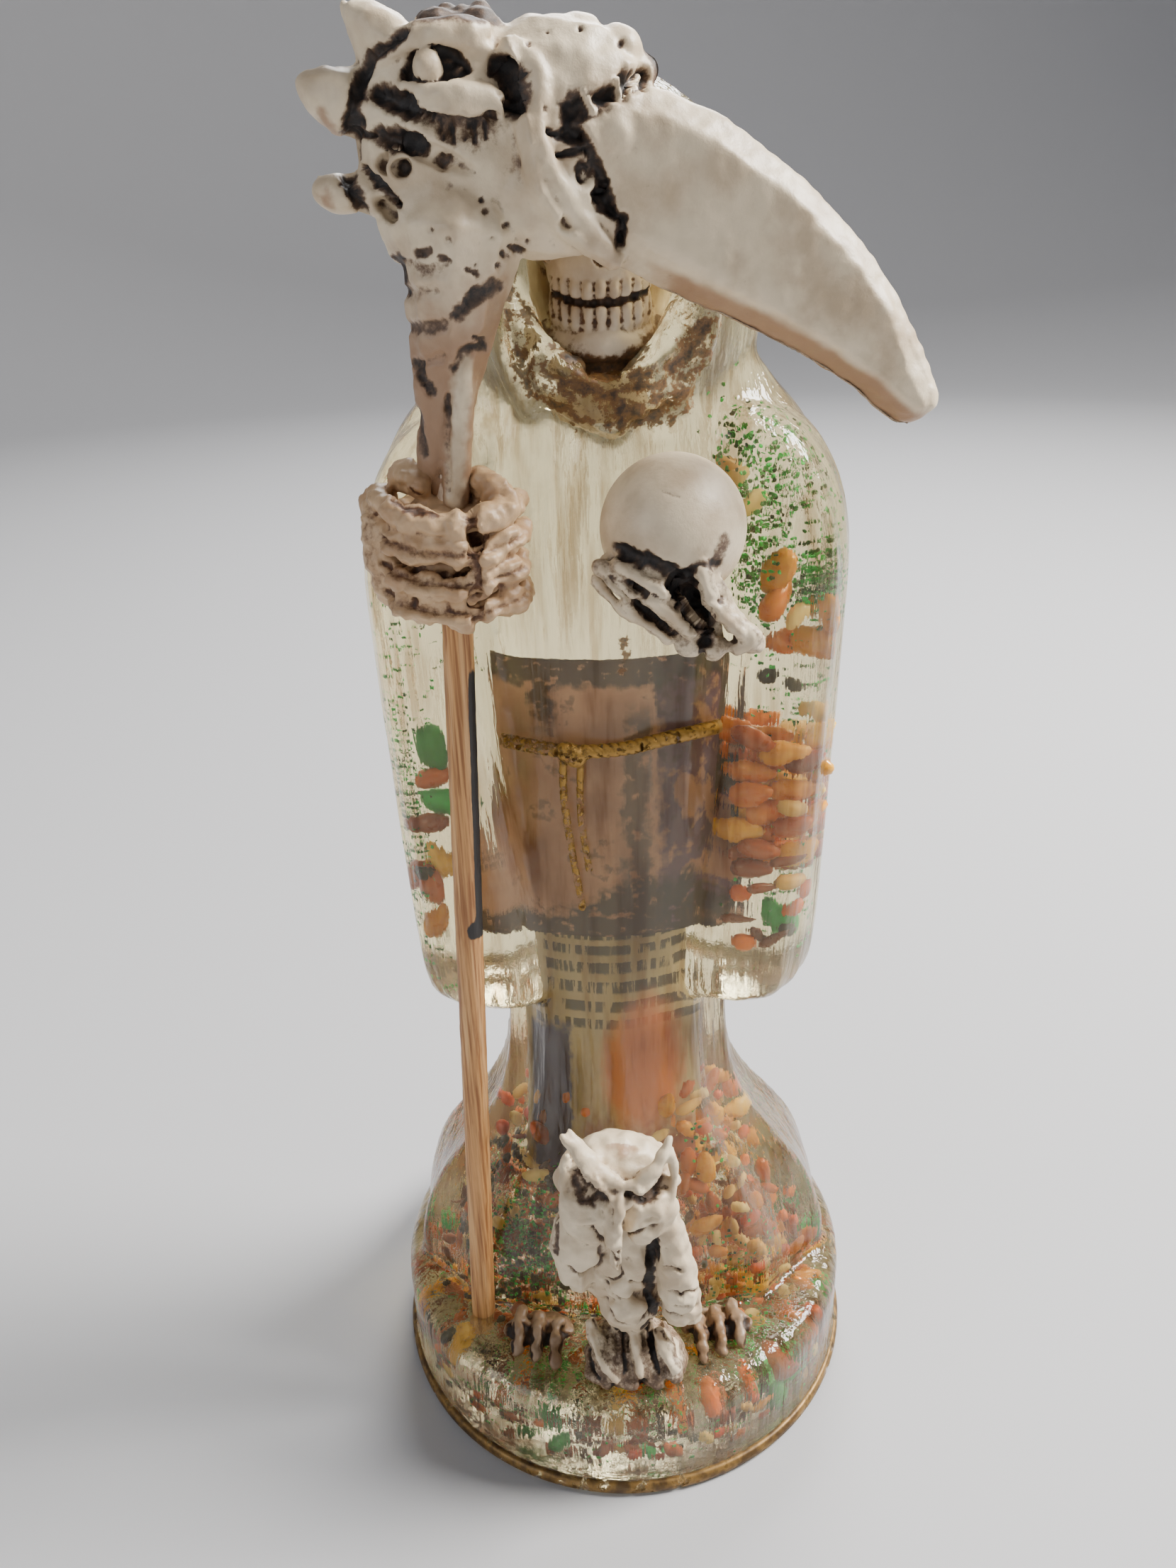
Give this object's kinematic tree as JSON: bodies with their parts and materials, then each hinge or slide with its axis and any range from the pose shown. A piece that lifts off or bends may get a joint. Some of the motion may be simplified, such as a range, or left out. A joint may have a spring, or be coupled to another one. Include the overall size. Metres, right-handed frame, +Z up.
{
  "type": "santa muerte figure",
  "caption": "Hooded skeleton figure in clear resin on a round base, with a scythe, a globe hand and an owl; a small devotional statue.",
  "frame": {"origin": "centre of the underside of the round base", "axes": "+Z up, the figure looks towards -Y, its right hand with the scythe is on the -X side"},
  "size_m": [0.062, 0.062, 0.16],
  "materials": {
    "clear_resin": "clear cast resin, slightly yellow, glossy",
    "ivory_resin": "ivory cast resin, near-black antiquing in the recesses",
    "bamboo": "bare bamboo skewer with fine grain and a dark stain down one side"
  },
  "bodies": {
    "root": {"resin_body": "clear_resin", "globe_hand": "ivory_resin", "owl": "ivory_resin", "scythe_shaft": "bamboo", "scythe_head": "ivory_resin"}
  },
  "joints": []
}
